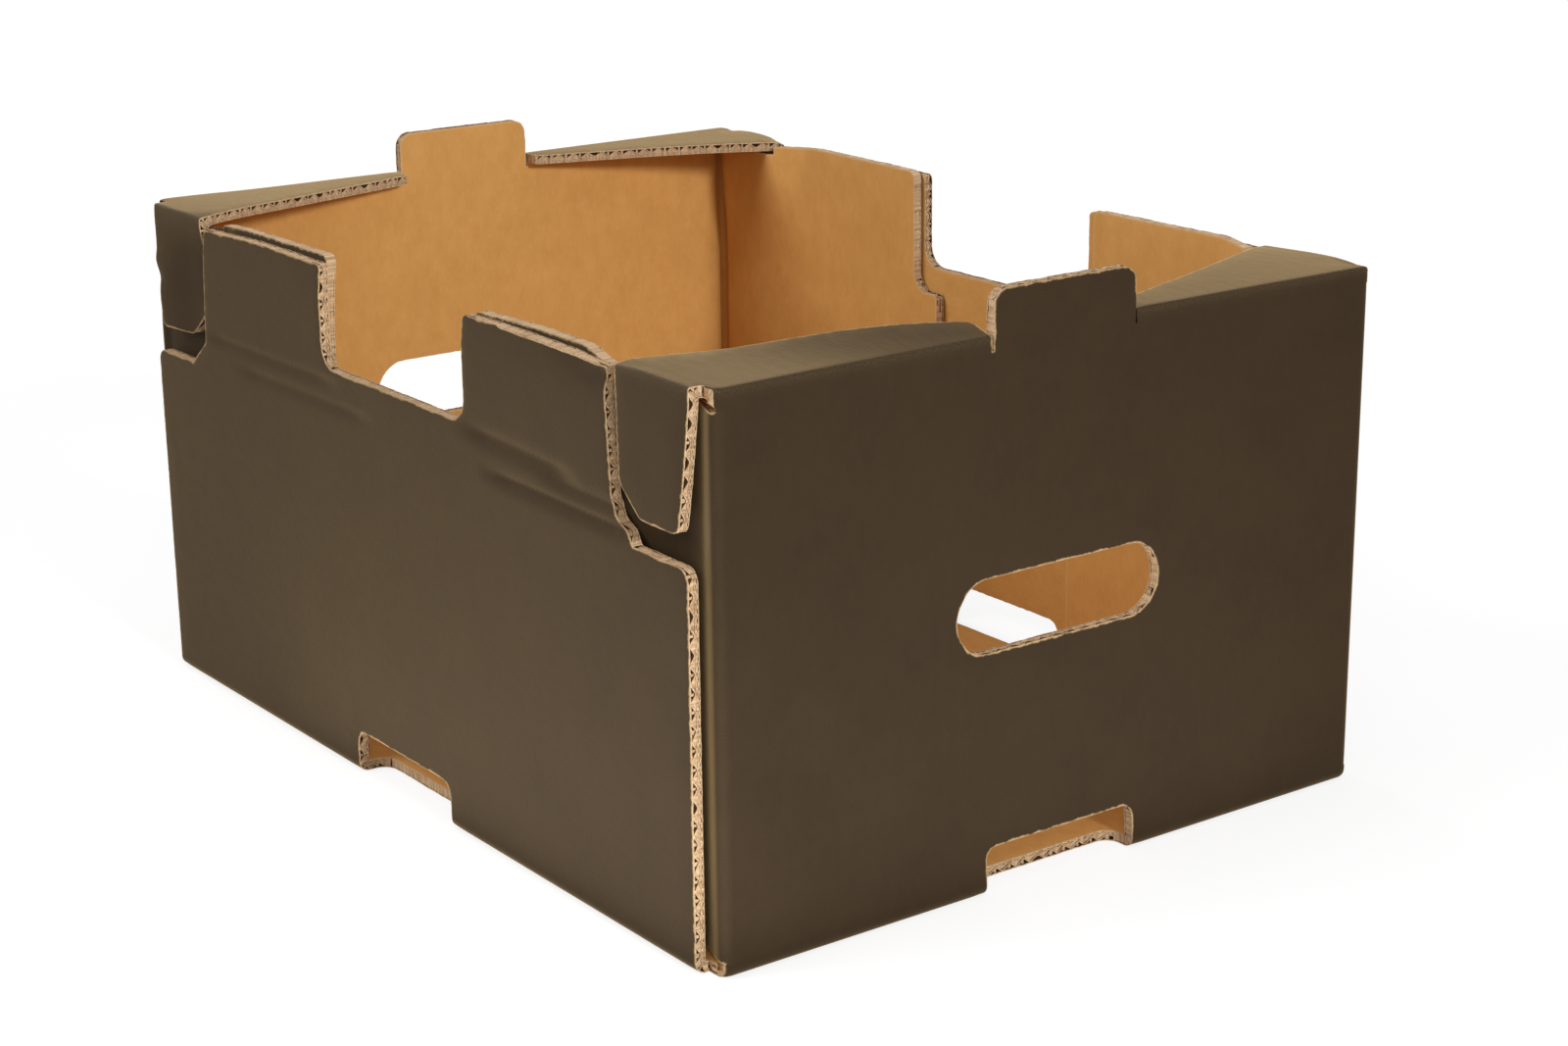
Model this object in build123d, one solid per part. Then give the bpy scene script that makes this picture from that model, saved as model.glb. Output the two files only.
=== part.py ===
from build123d import *
import os

# A tray box folded from one die-cut sheet of double-wall corrugated board.
# Millimetres, +Z up. The origin is on the floor's underside, at its middle.
# X runs across the width, between the two cut-down sides.
# Y runs along the length, between the two ends with hand holes.

# Outside of the folded box
length = 400.0
width = 297.0
height = 196.5  # up to the top of the corner shelves

# The board and its folds
board = 4.2
fold_round = 1.2  # outside radius of a fold, whose inside is crushed to a corner
corner_round = 4.0  # the same, at the upright folds of the corners and along the floor
glue_line = 0.5  # between two layers that are glued together
corner_relief = 1.0  # slot that keeps neighbouring folds apart at a corner

# Sides, the outermost layer
side_setback = 10.0  # from an end's outer face to a side's upright cut edge
shoulder_drop = 2.0  # from the shelves' top to a shoulder's top
dip_width = 103.0  # the cut-down middle of a side
dip_depth = 39.0  # from a shoulder's top
dip_round = 9.0
shoulder_round = 2.5

# Ends, with a hand hole and a stacking tab
hand_hole_width = 90.5
hand_hole_height = 26.3
hand_hole_level = 100.0  # middle of the hole above the ground
tab_width = 62.5
tab_rise = 15.2  # above the corner shelves
tab_round = 6.0
tab_slit = 0.6  # between the tab and the shelf folded beside it

# Stacking notches at the foot of each wall, those in the ends over the tabs of the tray below
tab_side_room = 2.2
tab_head_room = 2.0
end_notch_round = 4.5
side_notch_width = 69.0
side_notch_height = 17.4
side_notch_round = 6.0
notch_recess = 12.5  # how far a notch bites into the floor from the outer face
notch_recess_round = 6.0

# End flaps, which turn the corner and lie inside the sides
flap_drop = 0.6  # from the shelves' top to a flap's top
flap_setback = 3.5  # from the dip's upright edge back to the flap's
flap_step_run = 15.0  # how far the flap reaches on under the dip
flap_step_drop = 10.0  # from the dip's floor to the flap's step
flap_step_round = 8.0
flap_round = 4.0
flap_slope_run = 20.0  # the gentle slope of a flap's top towards the shelf
flap_slope_fall = 1.8
flap_step_gap = 5.0  # from the shelf to the step that takes the flap under it

# Corner shelves, folded in from the top of each end
shelf_depth = 50.0  # at the corner, from the end's outer face
shelf_tab_depth = 12.0  # the same, beside the stacking tab
shelf_round = 4.0

# Tongues, folded down from the shelves over the flaps
tongue_inset = 6.5  # from the end's outer face, at the fold
tongue_tip_inset = 15.0  # the same, at the tip
tongue_drop = 49.0
tongue_tip_round = 4.0
tongue_slant_run = 12.0  # the slant at the tip's inner corner
tongue_slant_rise = 10.0
tongue_narrowing = 1.5  # of the inner edge, from the fold to the slant

# The notch in a side that leaves room for a tongue
room_below = 10.0
room_beside = 4.5
room_widening = 3.5  # of the notch, from its slant up to the shoulder
side_corner_round = 5.0

# Worked out from the sizes above
half_length = length / 2
half_width = width / 2
flap_face = half_width - board - glue_line  # a flap's outer face
flat_half = flap_face - board  # where an end starts to turn the corner
fold_end = flap_face - corner_round / 2  # where the folds along an end stop
low_edge = board + corner_relief  # a flap's lower edge
under_shelf = height - board - corner_relief  # a flap's upper edge below the shelf
flap_top = height - flap_drop
shoulder_top = height - shoulder_drop
dip_floor = shoulder_top - dip_depth
dip_end = dip_width / 2
side_end = half_length - side_setback
side_notch_end = side_notch_width / 2
tab_side = tab_width / 2
tab_top = height + tab_rise
shelf_start = tab_side + tab_slit
end_notch_end = tab_side + tab_side_room
end_notch_top = tab_rise + tab_head_room


def from_end(distance):
    """The Y of a place that is a distance inside an end's outer face."""
    return half_length - distance


def outline(*corners):
    """A closed face whose corners are (across, up, radius)."""
    points = [(across, up) for across, up, radius in corners]
    radii = [radius for across, up, radius in corners]
    return make_face(FilletPolyline(*points, radius=radii, close=True))


def fold(start, toward, along, run, radius=fold_round):
    """A fold between two plates whose inside corner runs from start; one face looks toward."""
    section = Rectangle(board, board, align=(Align.MIN, Align.MIN))
    section = fillet(section.vertices().sort_by_distance((0, 0, 0))[-1], radius)
    return extrude(Plane(start, x_dir=toward, z_dir=along) * section, amount=run)


def floor():
    """A quarter of the floor, cut back at the stacking notches."""
    side_edge = half_width - board
    end_edge = half_length - board
    side_notch_edge = half_width - notch_recess
    end_notch_edge = half_length - notch_recess
    plan = outline(
        (0, 0, 0),
        (side_notch_edge, 0, 0),
        (side_notch_edge, side_notch_end, notch_recess_round),
        (side_edge, side_notch_end, 0),
        (side_edge, end_edge, 0),
        (end_notch_end, end_edge, 0),
        (end_notch_end, end_notch_edge, notch_recess_round),
        (0, end_notch_edge, 0),
    )
    return extrude(plan, amount=board)


def side():
    """Half of a side: shoulder, half the dip, half the foot notch, room for the tongue."""
    room_floor = height - tongue_drop - room_below
    room_edge = shelf_depth - tongue_narrowing + room_beside
    face = outline(
        (0, side_notch_height, 0),
        (side_notch_end, side_notch_height, side_notch_round),
        (side_notch_end, board, 0),
        (side_end, board, 0),
        (side_end, room_floor, side_corner_round),
        (from_end(room_edge - tongue_slant_run), room_floor, 0),
        (from_end(room_edge), room_floor + tongue_slant_rise, 0),
        (from_end(room_edge + room_widening), shoulder_top, 0),
        (dip_end, shoulder_top, shoulder_round),
        (dip_end, dip_floor, dip_round),
        (0, dip_floor, 0),
    )
    wall = extrude(Plane.YZ.offset(half_width - board) * face, amount=board)
    start = (half_width - board, side_notch_end, board)
    return wall + fold(start, (1, 0, 0), (0, 1, 0), side_end - side_notch_end, corner_round)


def end():
    """Half of an end: hand hole, stacking tab, foot notch and the fold to the floor."""
    face = outline(
        (0, end_notch_top, 0),
        (end_notch_end, end_notch_top, end_notch_round),
        (end_notch_end, board, 0),
        (flat_half, board, 0),
        (flat_half, height - board, 0),
        (tab_side, height - board, 0),
        (tab_side, tab_top, tab_round),
        (0, tab_top, 0),
    )
    face -= Pos(0, hand_hole_level) * SlotOverall(hand_hole_width, hand_hole_height)
    wall = extrude(Plane.XZ.offset(-half_length) * face, amount=board)
    start = (end_notch_end, half_length - board, board)
    return wall + fold(start, (0, 0, -1), (1, 0, 0), fold_end - end_notch_end, corner_round)


def flap():
    """An end flap and the upright fold that carries it round the corner."""
    step_level = dip_floor - flap_step_drop
    slope_end = shelf_depth + flap_step_gap
    upper_edge = dip_end + flap_setback
    lower_edge = upper_edge - flap_step_run
    face = outline(
        (from_end(board), low_edge, 0),
        (from_end(board), under_shelf, 0),
        (from_end(slope_end), under_shelf, 0),
        (from_end(slope_end), flap_top - flap_slope_fall, 0),
        (from_end(slope_end + flap_slope_run), flap_top, 0),
        (upper_edge, flap_top, flap_round),
        (upper_edge, step_level, flap_step_round),
        (lower_edge, step_level, shoulder_round),
        (lower_edge, low_edge, 0),
    )
    wall = extrude(Plane.YZ.offset(flap_face - board) * face, amount=board)
    start = (flat_half, half_length - board, low_edge)
    return wall + fold(start, (1, 0, 0), (0, 0, 1), under_shelf - low_edge, corner_round)


def shelf():
    """A corner shelf and the fold along the top of the end."""
    plan = outline(
        (shelf_start, from_end(board), 0),
        (fold_end, from_end(board), 0),
        (half_width - board, from_end(tongue_inset), 0),
        (half_width - board, from_end(shelf_depth), 0),
        (shelf_start, from_end(shelf_tab_depth), shelf_round),
    )
    top = extrude(Plane.XY.offset(height - board) * plan, amount=board)
    start = (shelf_start, half_length - board, height - board)
    return top + fold(start, (0, 1, 0), (1, 0, 0), fold_end - shelf_start)


def tongue():
    """A tapered tongue, flush with the side, and its fold along the shelf."""
    fold_level = height - board
    tip_level = height - tongue_drop
    inner_edge = shelf_depth - tongue_narrowing
    face = outline(
        (from_end(tongue_inset), fold_level, 0),
        (from_end(shelf_depth), fold_level, 0),
        (from_end(inner_edge), tip_level + tongue_slant_rise, tongue_tip_round),
        (from_end(inner_edge - tongue_slant_run), tip_level, tongue_tip_round),
        (from_end(tongue_tip_inset), tip_level, tongue_tip_round),
    )
    wall = extrude(Plane.YZ.offset(half_width - board) * face, amount=board)
    start = (half_width - board, from_end(shelf_depth), fold_level)
    return wall + fold(start, (0, 0, 1), (0, 1, 0), shelf_depth - tongue_inset)


def tray():
    """The whole folded sheet: one corner quarter and its mirror images."""
    quarter = floor() + side() + end() + flap() + shelf() + tongue()
    back_half = quarter + mirror(quarter, about=Plane.YZ)
    return back_half + mirror(back_half, about=Plane.XZ)


os.makedirs("parts", exist_ok=True)
export_step(tray(), "parts/tray.step")
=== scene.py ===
import math
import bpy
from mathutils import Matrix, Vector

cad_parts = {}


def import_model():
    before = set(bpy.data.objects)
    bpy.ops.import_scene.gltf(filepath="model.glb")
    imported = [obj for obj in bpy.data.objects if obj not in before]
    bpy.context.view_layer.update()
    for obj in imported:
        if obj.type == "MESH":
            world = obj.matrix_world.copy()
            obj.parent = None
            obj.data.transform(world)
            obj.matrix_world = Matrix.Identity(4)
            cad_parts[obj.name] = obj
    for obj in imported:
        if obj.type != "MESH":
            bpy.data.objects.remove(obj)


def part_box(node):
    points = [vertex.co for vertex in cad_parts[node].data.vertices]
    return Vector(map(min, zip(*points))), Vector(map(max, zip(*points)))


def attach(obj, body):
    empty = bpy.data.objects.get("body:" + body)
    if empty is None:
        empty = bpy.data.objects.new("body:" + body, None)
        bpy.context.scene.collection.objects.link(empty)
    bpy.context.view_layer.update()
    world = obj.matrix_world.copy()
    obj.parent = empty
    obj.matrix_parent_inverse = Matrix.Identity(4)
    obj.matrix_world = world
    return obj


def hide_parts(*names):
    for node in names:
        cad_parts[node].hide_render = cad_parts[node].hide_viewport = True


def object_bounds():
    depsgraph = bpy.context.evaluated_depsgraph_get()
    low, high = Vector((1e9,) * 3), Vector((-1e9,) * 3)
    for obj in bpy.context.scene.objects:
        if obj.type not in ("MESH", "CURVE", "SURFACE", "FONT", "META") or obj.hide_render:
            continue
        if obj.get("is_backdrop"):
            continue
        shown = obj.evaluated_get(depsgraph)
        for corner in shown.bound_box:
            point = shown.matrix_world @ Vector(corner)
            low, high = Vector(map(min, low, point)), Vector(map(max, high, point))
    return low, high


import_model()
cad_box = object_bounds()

from types import SimpleNamespace

import bpy
import numpy as np
from mathutils import Matrix, Vector, noise
from mathutils.geometry import delaunay_2d_cdt

# The tray is cut as one flat blank and then folded. Sizes are in millimetres
# until a mesh is made. U runs across the blank and V along it, and the flutes
# of the board run along V everywhere.

TO_MM = 1000.0
QUARTER_TURN = math.pi / 2

# Outside of the folded tray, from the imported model
low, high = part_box("tray")
width = (high[0] - low[0]) * TO_MM
length = (high[1] - low[1]) * TO_MM
tab_rise = 15.2
height = high[2] * TO_MM - tab_rise  # up to the top of the corner shelves

# The board, from its printed outer liner to its bare inner liner
board = 4.2
liner = 0.4
coarse_wave = 2.2  # height of the flutes under the outer liner
coarse_pitch = 6.4
fine_pitch = 3.2
middle_liner = 0.3
coarse_paper = 0.42  # the fluted papers, as thick as a cut leaves them
fine_paper = 0.4
fold_round = 1.2  # outside radius of a fold
corner_round = 4.0  # the same, at the upright folds of the corners and along the floor
fold_crush = 0.35  # radius of a fold's inner layers
fold_margin = 1.2  # flat board beside a fold's inside corner
fold_end_share = 0.2  # what the cuts at a fold's end take of a radius or a relief
glue_line = 0.5
corner_relief = 1.0

# Cut edges: how far a liner is trimmed, how rough it is as (height, size), and how it is crushed
rim_trim = 0.08
rim_rough = (0.2, 1.9)
rim_wave = (0.14, 6.0)
rim_crush = 0.14
rim_crush_reach = 0.9
unworn = 9.0  # the gap to a cut edge that stands for no wear

# Papers behind a cut edge, as (recess, roughness, depth)
along_coarse = (0.1, 0.75, 2.6)  # where the cut runs along the flutes
along_middle = (0.1, 0.16, 2.6)
along_fine = (0.1, 0.6, 2.6)
crushed_top = (0.0, 0.3, 3.0)
fine_fill = (0.5, 0.6, 2.5)  # where it runs across them
middle_paper = (0.1, 0.2, 4.0)
coarse_flute = (0.1, 0.2, 6.0)
coarse_fill = (0.4, 0.7, 3.0)
half_closed = (0.9, 0.6, 3.0)
torn_plug = (0.5, 0.5, 3.0)
fine_flute = (0.1, 0.25, 2.5)
along_step = 1.1
across_step = 1.0
flute_step = 0.5
across_lean = 0.42  # an edge that leans more than this cuts across the flutes
flute_size = 0.9
flute_vary = 0.35
plug_half = 0.75  # as a turn of the wave
plug_vary = 0.3
plug_shift = 0.7
plug_least = -0.35

# Sides
side_setback = 10.0
shoulder_drop = 2.0
dip_width = 103.0
dip_depth = 39.0
dip_round = 9.0
shoulder_round = 2.5

# Ends
hand_hole_width = 90.5
hand_hole_height = 26.3
hand_hole_level = 100.0
tab_width = 62.5
tab_round = 6.0
tab_slit = 0.6

# Foot notches
tab_side_room = 2.2
tab_head_room = 2.0
end_notch_round = 4.5
side_notch_width = 69.0
side_notch_height = 17.4
side_notch_round = 6.0
notch_recess = 12.5
notch_recess_round = 6.0

# End flaps
flap_drop = 0.6
flap_setback = 3.5
flap_step_run = 15.0
flap_step_drop = 10.0
flap_step_round = 8.0
flap_round = 4.0
flap_slope_run = 20.0
flap_slope_fall = 1.8
flap_step_gap = 5.0

# Corner shelves and their tongues
shelf_depth = 50.0
shelf_tab_depth = 12.0
shelf_round = 4.0
tongue_inset = 6.5
tongue_tip_inset = 15.0
tongue_drop = 49.0
tongue_tip_round = 4.0
tongue_slant_run = 12.0
tongue_slant_rise = 10.0
tongue_narrowing = 1.5
room_below = 10.0
room_beside = 4.5
room_widening = 3.5
side_corner_round = 5.0

# Worked out from the sizes above
bend = board + fold_margin  # how far a fold reaches from its outer corner
half_length = length / 2
half_width = width / 2
strip = 2 * (bend - fold_round) + QUARTER_TURN * fold_round  # a fold's width in the blank
round_strip = 2 * (bend - corner_round) + QUARTER_TURN * corner_round
floor_u = half_width - bend
floor_v = half_length - bend
flap_face = half_width - board - glue_line
flat_half = flap_face - bend
crease_end = flap_face - fold_end_share * corner_round
low_edge = bend + fold_end_share * corner_relief
under_shelf = height - low_edge
shoulder_top = height - shoulder_drop
flap_top = height - flap_drop
dip_floor = shoulder_top - dip_depth
dip_end = dip_width / 2
side_end = half_length - side_setback
side_notch_end = side_notch_width / 2
tab_side = tab_width / 2
tab_top = height + tab_rise
shelf_start = tab_side + tab_slit
end_notch_end = tab_side + tab_side_room
end_notch_top = tab_rise + tab_head_room
hole_round = hand_hole_height / 2
wall_v = floor_v + round_strip  # where an end starts to stand up
top_v = wall_v + height - 2 * bend  # where it starts to fold in
shelf_edge_v = top_v + strip
flap_u = flat_half + round_strip
side_u = floor_u + round_strip
tongue_u = floor_u + strip
tab_line = (tab_side + shelf_start) / 2

# How finely the sheet is divided
cut_step = 1.3
arc_step = 0.9
hole_points = 40  # round the end of a hand hole
plate_step = 8.0
dent_step = 3.0
dent_level = 100.0  # the sides are more finely divided above this
crease_step = 1.1
crease_levels = (133.0, 160.0)  # where the sides are creased along the flutes
crease_parts = 5
crease_point_step = 6.15
turn_length = 6.0  # the ends of the folds along an end, which turn the corner
turn_step = 1.0
beside_fold = (1.0, 2.0, 3.2, 4.8)  # extra lines beside the upright folds
rim = 1.3  # from a cut edge to the row of points inside it
rim_room = 0.55  # how close to a line a rim point may lie, in rims
point_room = 0.45  # the same for other points, in their own steps
row_room = 1.5  # the least of that, in rims
row_skip = 3  # points are this much further apart along a crease than across it


def side_at(z):
    """The U of a level on a side."""
    return side_u + z - bend


def end_at(z):
    """The V of a level on an end or a flap."""
    return wall_v + z - bend


def flap_at(y):
    """The U of a place along a flap."""
    return flap_u + half_length - bend - y


def shelf_at(inset):
    """The V of a place on a shelf or a tongue."""
    return shelf_edge_v + inset - bend


def tongue_at(z):
    """The U of a level on a tongue."""
    return tongue_u + height - bend - z


def ramp(value, start, stop):
    """A smooth step from 0 at start to 1 at stop."""
    share = np.clip((value - start) / (stop - start), 0.0, 1.0)
    return share * share * (3.0 - 2.0 * share)


def fade(value, start, stop):
    """A smooth step from 1 at start to 0 at stop."""
    return 1 - ramp(value, start, stop)


def hump(value, middle, half):
    """A soft hump, 1 at its middle."""
    return np.exp(-((value - middle) / half) ** 2)


def rounded(corners):
    """Points round a closed outline whose corners are (u, v, radius)."""
    points = []
    count = len(corners)
    for i, (u, v, radius) in enumerate(corners):
        here = Vector((u, v))
        if not radius:
            points.append(here)
            continue
        before = Vector(corners[i - 1][:2]) - here
        after = Vector(corners[(i + 1) % count][:2]) - here
        before.normalize()
        after.normalize()
        half_angle = before.angle(after) / 2
        reach = radius / math.tan(half_angle)
        middle = here + (before + after).normalized() * radius / math.sin(half_angle)
        first = here + before * reach - middle
        sweep = math.pi - 2 * half_angle
        if first.x * before.y - first.y * before.x > 0:
            sweep = -sweep
        parts = max(3, round(abs(sweep) * radius / arc_step))
        for k in range(parts + 1):
            turn = sweep * k / parts
            turned = Vector((
                first.x * math.cos(turn) - first.y * math.sin(turn),
                first.x * math.sin(turn) + first.y * math.cos(turn),
            ))
            points.append(middle + turned)
    return points


def divided(points, step):
    """The same closed line with its long runs cut into equal parts."""
    line = []
    for a, b in zip(points, points[1:] + points[:1]):
        parts = max(1, math.ceil((b - a).length / step))
        line += [a.lerp(b, k / parts) for k in range(parts)]
    return line


def quarter_outline():
    """The outline of a quarter of the flat blank, with half of a hand hole."""
    room_floor = height - tongue_drop - room_below
    room_edge = shelf_depth - tongue_narrowing + room_beside
    step_level = dip_floor - flap_step_drop
    slope_end = shelf_depth + flap_step_gap
    flap_top_edge = dip_end + flap_setback
    flap_low_edge = flap_top_edge - flap_step_run
    tip_level = height - tongue_drop
    tongue_edge = shelf_depth - tongue_narrowing
    hole_top = end_at(hand_hole_level + hole_round)
    hole_low = end_at(hand_hole_level - hole_round)
    return rounded([
        (0, 0, 0),
        (half_width - notch_recess, 0, 0),
        (half_width - notch_recess, side_notch_end, notch_recess_round),
        (side_at(side_notch_height), side_notch_end, side_notch_round),
        (side_at(side_notch_height), 0, 0),
        (side_at(dip_floor), 0, 0),
        (side_at(dip_floor), dip_end, dip_round),
        (side_at(shoulder_top), dip_end, shoulder_round),
        (side_at(shoulder_top), half_length - room_edge - room_widening, 0),
        (side_at(room_floor + tongue_slant_rise), half_length - room_edge, 0),
        (side_at(room_floor), half_length - room_edge + tongue_slant_run, 0),
        (side_at(room_floor), side_end, side_corner_round),
        (floor_u, side_end, 0),
        (floor_u, floor_v, 0),
        (crease_end, floor_v, 0),
        (crease_end, end_at(low_edge), 0),
        (flap_at(flap_low_edge), end_at(low_edge), 0),
        (flap_at(flap_low_edge), end_at(step_level), shoulder_round),
        (flap_at(flap_top_edge), end_at(step_level), flap_step_round),
        (flap_at(flap_top_edge), end_at(flap_top), flap_round),
        (flap_at(half_length - slope_end - flap_slope_run), end_at(flap_top), 0),
        (flap_at(half_length - slope_end), end_at(flap_top - flap_slope_fall), 0),
        (flap_at(half_length - slope_end), end_at(under_shelf), 0),
        (crease_end, end_at(under_shelf), 0),
        (crease_end, shelf_edge_v, 0),
        (floor_u, shelf_at(tongue_inset), 0),
        (tongue_u, shelf_at(tongue_inset), 0),
        (tongue_at(tip_level), shelf_at(tongue_tip_inset), tongue_tip_round),
        (tongue_at(tip_level), shelf_at(tongue_edge - tongue_slant_run), tongue_tip_round),
        (tongue_at(tip_level + tongue_slant_rise), shelf_at(tongue_edge), tongue_tip_round),
        (tongue_u, shelf_at(shelf_depth), 0),
        (floor_u, shelf_at(shelf_depth), 0),
        (shelf_start, shelf_at(shelf_tab_depth), shelf_round),
        (shelf_start, top_v, 0),
        (tab_side, top_v, 0),
        (tab_side, end_at(tab_top), tab_round),
        (0, end_at(tab_top), 0),
        (0, hole_top, 0),
        (hand_hole_width / 2 - hole_round, hole_top, 0),
    ] + [
        (
            hand_hole_width / 2 - hole_round + hole_round * math.sin(turn),
            end_at(hand_hole_level) + hole_round * math.cos(turn),
            0,
        )
        for turn in np.linspace(0, math.pi, hole_points)[1:-1]
    ] + [
        (hand_hole_width / 2 - hole_round, hole_low, 0),
        (0, hole_low, 0),
        (0, end_at(end_notch_top), 0),
        (end_notch_end, end_at(end_notch_top), end_notch_round),
        (end_notch_end, half_length - notch_recess, notch_recess_round),
        (0, half_length - notch_recess, 0),
    ])


def on_join(a, b):
    """Whether a run of the quarter's outline is where two quarters meet."""
    tiny = 1e-6
    return (abs(a.x) < tiny and abs(b.x) < tiny) or (abs(a.y) < tiny and abs(b.y) < tiny)


outline = divided(quarter_outline(), cut_step)
ring = np.array([tuple(p) for p in outline])
ring_next = np.roll(ring, -1, axis=0)
winding = np.sum(ring[:, 0] * ring_next[:, 1] - ring_next[:, 0] * ring[:, 1])
if winding < 0:
    outline.reverse()
    ring = ring[::-1].copy()
    ring_next = np.roll(ring, -1, axis=0)
run = ring_next - ring
run_length = np.hypot(run[:, 0], run[:, 1])
joins = np.array([on_join(a, b) for a, b in zip(outline, outline[1:] + outline[:1])])
inward = np.stack([-run[:, 1], run[:, 0]], axis=1) / run_length[:, None]


def inside(points):
    """Which points are inside the quarter's outline."""
    result = np.zeros(len(points), dtype=bool)
    x = points[:, 0]
    y = points[:, 1]
    for (ax, ay), (bx, by) in zip(ring, ring_next):
        if ay == by:
            continue
        crosses = (ay > y) != (by > y)
        result ^= crosses & (x < (bx - ax) * (y - ay) / (by - ay) + ax)
    return result


def gap_to(points, starts, stops):
    """The distance from each point to the nearest of many runs."""
    best = np.full(len(points), 1e9)
    for a, b in zip(starts, stops):
        d = b - a
        share = np.clip(((points - a) @ d) / max(d @ d, 1e-12), 0, 1)
        away = points - a - share[:, None] * d
        best = np.minimum(best, np.hypot(away[:, 0], away[:, 1]))
    return best


def crease_shifts(radius):
    """How far into a fold's width in the blank its dividing lines lie."""
    flat = bend - radius
    arc = QUARTER_TURN * radius
    turns = [flat + arc * k / crease_parts for k in range(crease_parts + 1)]
    return [0, flat / 2] + turns + [flat + arc + flat / 2, 2 * flat + arc]


def crease_lines():
    """Lines across the quarter blank that follow its creases, some with a finer step."""
    lines = []
    turn_start = crease_end - turn_length
    for shift in crease_shifts(fold_round):
        lines += [
            ((shelf_start, top_v + shift), (turn_start, top_v + shift)),
            ((turn_start, top_v + shift), (crease_end, top_v + shift), turn_step),
            ((floor_u + shift, shelf_at(tongue_inset)), (floor_u + shift, shelf_at(shelf_depth))),
        ]
    for shift in crease_shifts(corner_round):
        lines += [
            ((floor_u + shift, side_notch_end), (floor_u + shift, side_end)),
            ((end_notch_end, floor_v + shift), (turn_start, floor_v + shift)),
            ((turn_start, floor_v + shift), (crease_end, floor_v + shift), turn_step),
            ((flat_half + shift, end_at(low_edge)), (flat_half + shift, end_at(under_shelf))),
        ]
    for beside in beside_fold:
        for u in (flat_half - beside, flap_u + beside):
            lines.append(((u, end_at(low_edge)), (u, end_at(under_shelf))))
    return lines


def lattice(u0, u1, v0, v1, step):
    """Evenly spaced points in a rectangle of the blank."""
    us = np.arange(u0 + step / 2, u1, step)
    vs = np.arange(v0 + step / 2, v1, step)
    grid = np.stack(np.meshgrid(us, vs), axis=-1)
    return grid.reshape(-1, 2)


def quarter_mesh():
    """The flat quarter as points, triangles and each point's gap to a cut edge."""
    cut = ~joins
    points = [tuple(p) for p in ring]
    count = len(points)
    edges = [(i, (i + 1) % count) for i in range(count)]
    starts = list(ring)
    stops = list(ring_next)
    for a, b, *finer in crease_lines():
        a = np.array(a)
        b = np.array(b)
        step = finer[0] if finer else crease_point_step
        parts = max(1, round(np.hypot(*(b - a)) / step))
        first = len(points)
        points += [tuple(a + (b - a) * k / parts) for k in range(parts + 1)]
        edges += [(first + k, first + k + 1) for k in range(parts)]
        starts.append(a)
        stops.append(b)
    starts = np.array(starts)
    stops = np.array(stops)
    near_rim = ring + (inward + np.roll(inward, 1, axis=0)) / 2 * rim
    near_rim = near_rim[cut & np.roll(cut, 1)]
    near_rim = near_rim[inside(near_rim)]
    near_rim = near_rim[gap_to(near_rim, starts, stops) > rim * rim_room]
    coarse = lattice(0, ring[:, 0].max(), 0, ring[:, 1].max(), plate_step)
    dense_u = side_at(dent_level)
    dense = lattice(dense_u, side_at(height), 0, side_end, dent_step)
    in_dense = (coarse[:, 0] > dense_u) & (coarse[:, 1] < side_end)
    creased = [side_at(z) for z in crease_levels]
    in_creased = (dense[:, 0] > creased[0]) & (dense[:, 0] < creased[1])
    rows = lattice(*creased, 0, side_end, crease_step)[::row_skip]
    spread = []
    grids = (
        (coarse[~in_dense], plate_step),
        (dense[~in_creased], dent_step),
        (rows, crease_step),
    )
    for grid, step in grids:
        grid = grid[inside(grid)]
        spread.append(grid[gap_to(grid, starts, stops) > max(point_room * step, rim * row_room)])
    points += [tuple(p) for group in [near_rim] + spread for p in group]
    flat, _, faces, *_ = delaunay_2d_cdt([Vector(p) for p in points], edges, [], 0, 1e-4)
    flat = np.array([tuple(p) for p in flat])
    faces = np.array([f for f in faces if len(f) == 3])
    middles = flat[faces].mean(axis=1)
    faces = faces[inside(middles)]
    used = np.unique(faces)
    renumber = np.full(len(flat), -1)
    renumber[used] = np.arange(len(used))
    flat = flat[used]
    faces = renumber[faces]
    to_cut = gap_to(flat, ring[cut], ring_next[cut])
    return flat, faces, to_cut


def whole_blank(flat, faces, to_cut):
    """Four mirrored quarters, joined along the two middle lines."""
    places = {}
    all_points = []
    all_gaps = []
    all_faces = []
    for su in (1, -1):
        for sv in (1, -1):
            ids = []
            for (u, v), gap in zip(flat, to_cut):
                key = (round(su * u, 3) + 0.0, round(sv * v, 3) + 0.0)
                if key not in places:
                    places[key] = len(all_points)
                    all_points.append((su * u, sv * v))
                    all_gaps.append(gap)
                ids.append(places[key])
            ids = np.array(ids)
            turned = faces if su * sv > 0 else faces[:, ::-1]
            all_faces.append(ids[turned])
    return np.array(all_points), np.concatenate(all_faces), np.array(all_gaps)


# How the real box has warped, in millimetres. A pair says where a warp grows or fades, or
# a hump's middle and half width. A level is above the ground, an inset is from an end's
# outer face, a drop is below the shelves' top, and across is from the middle of the width.

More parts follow.
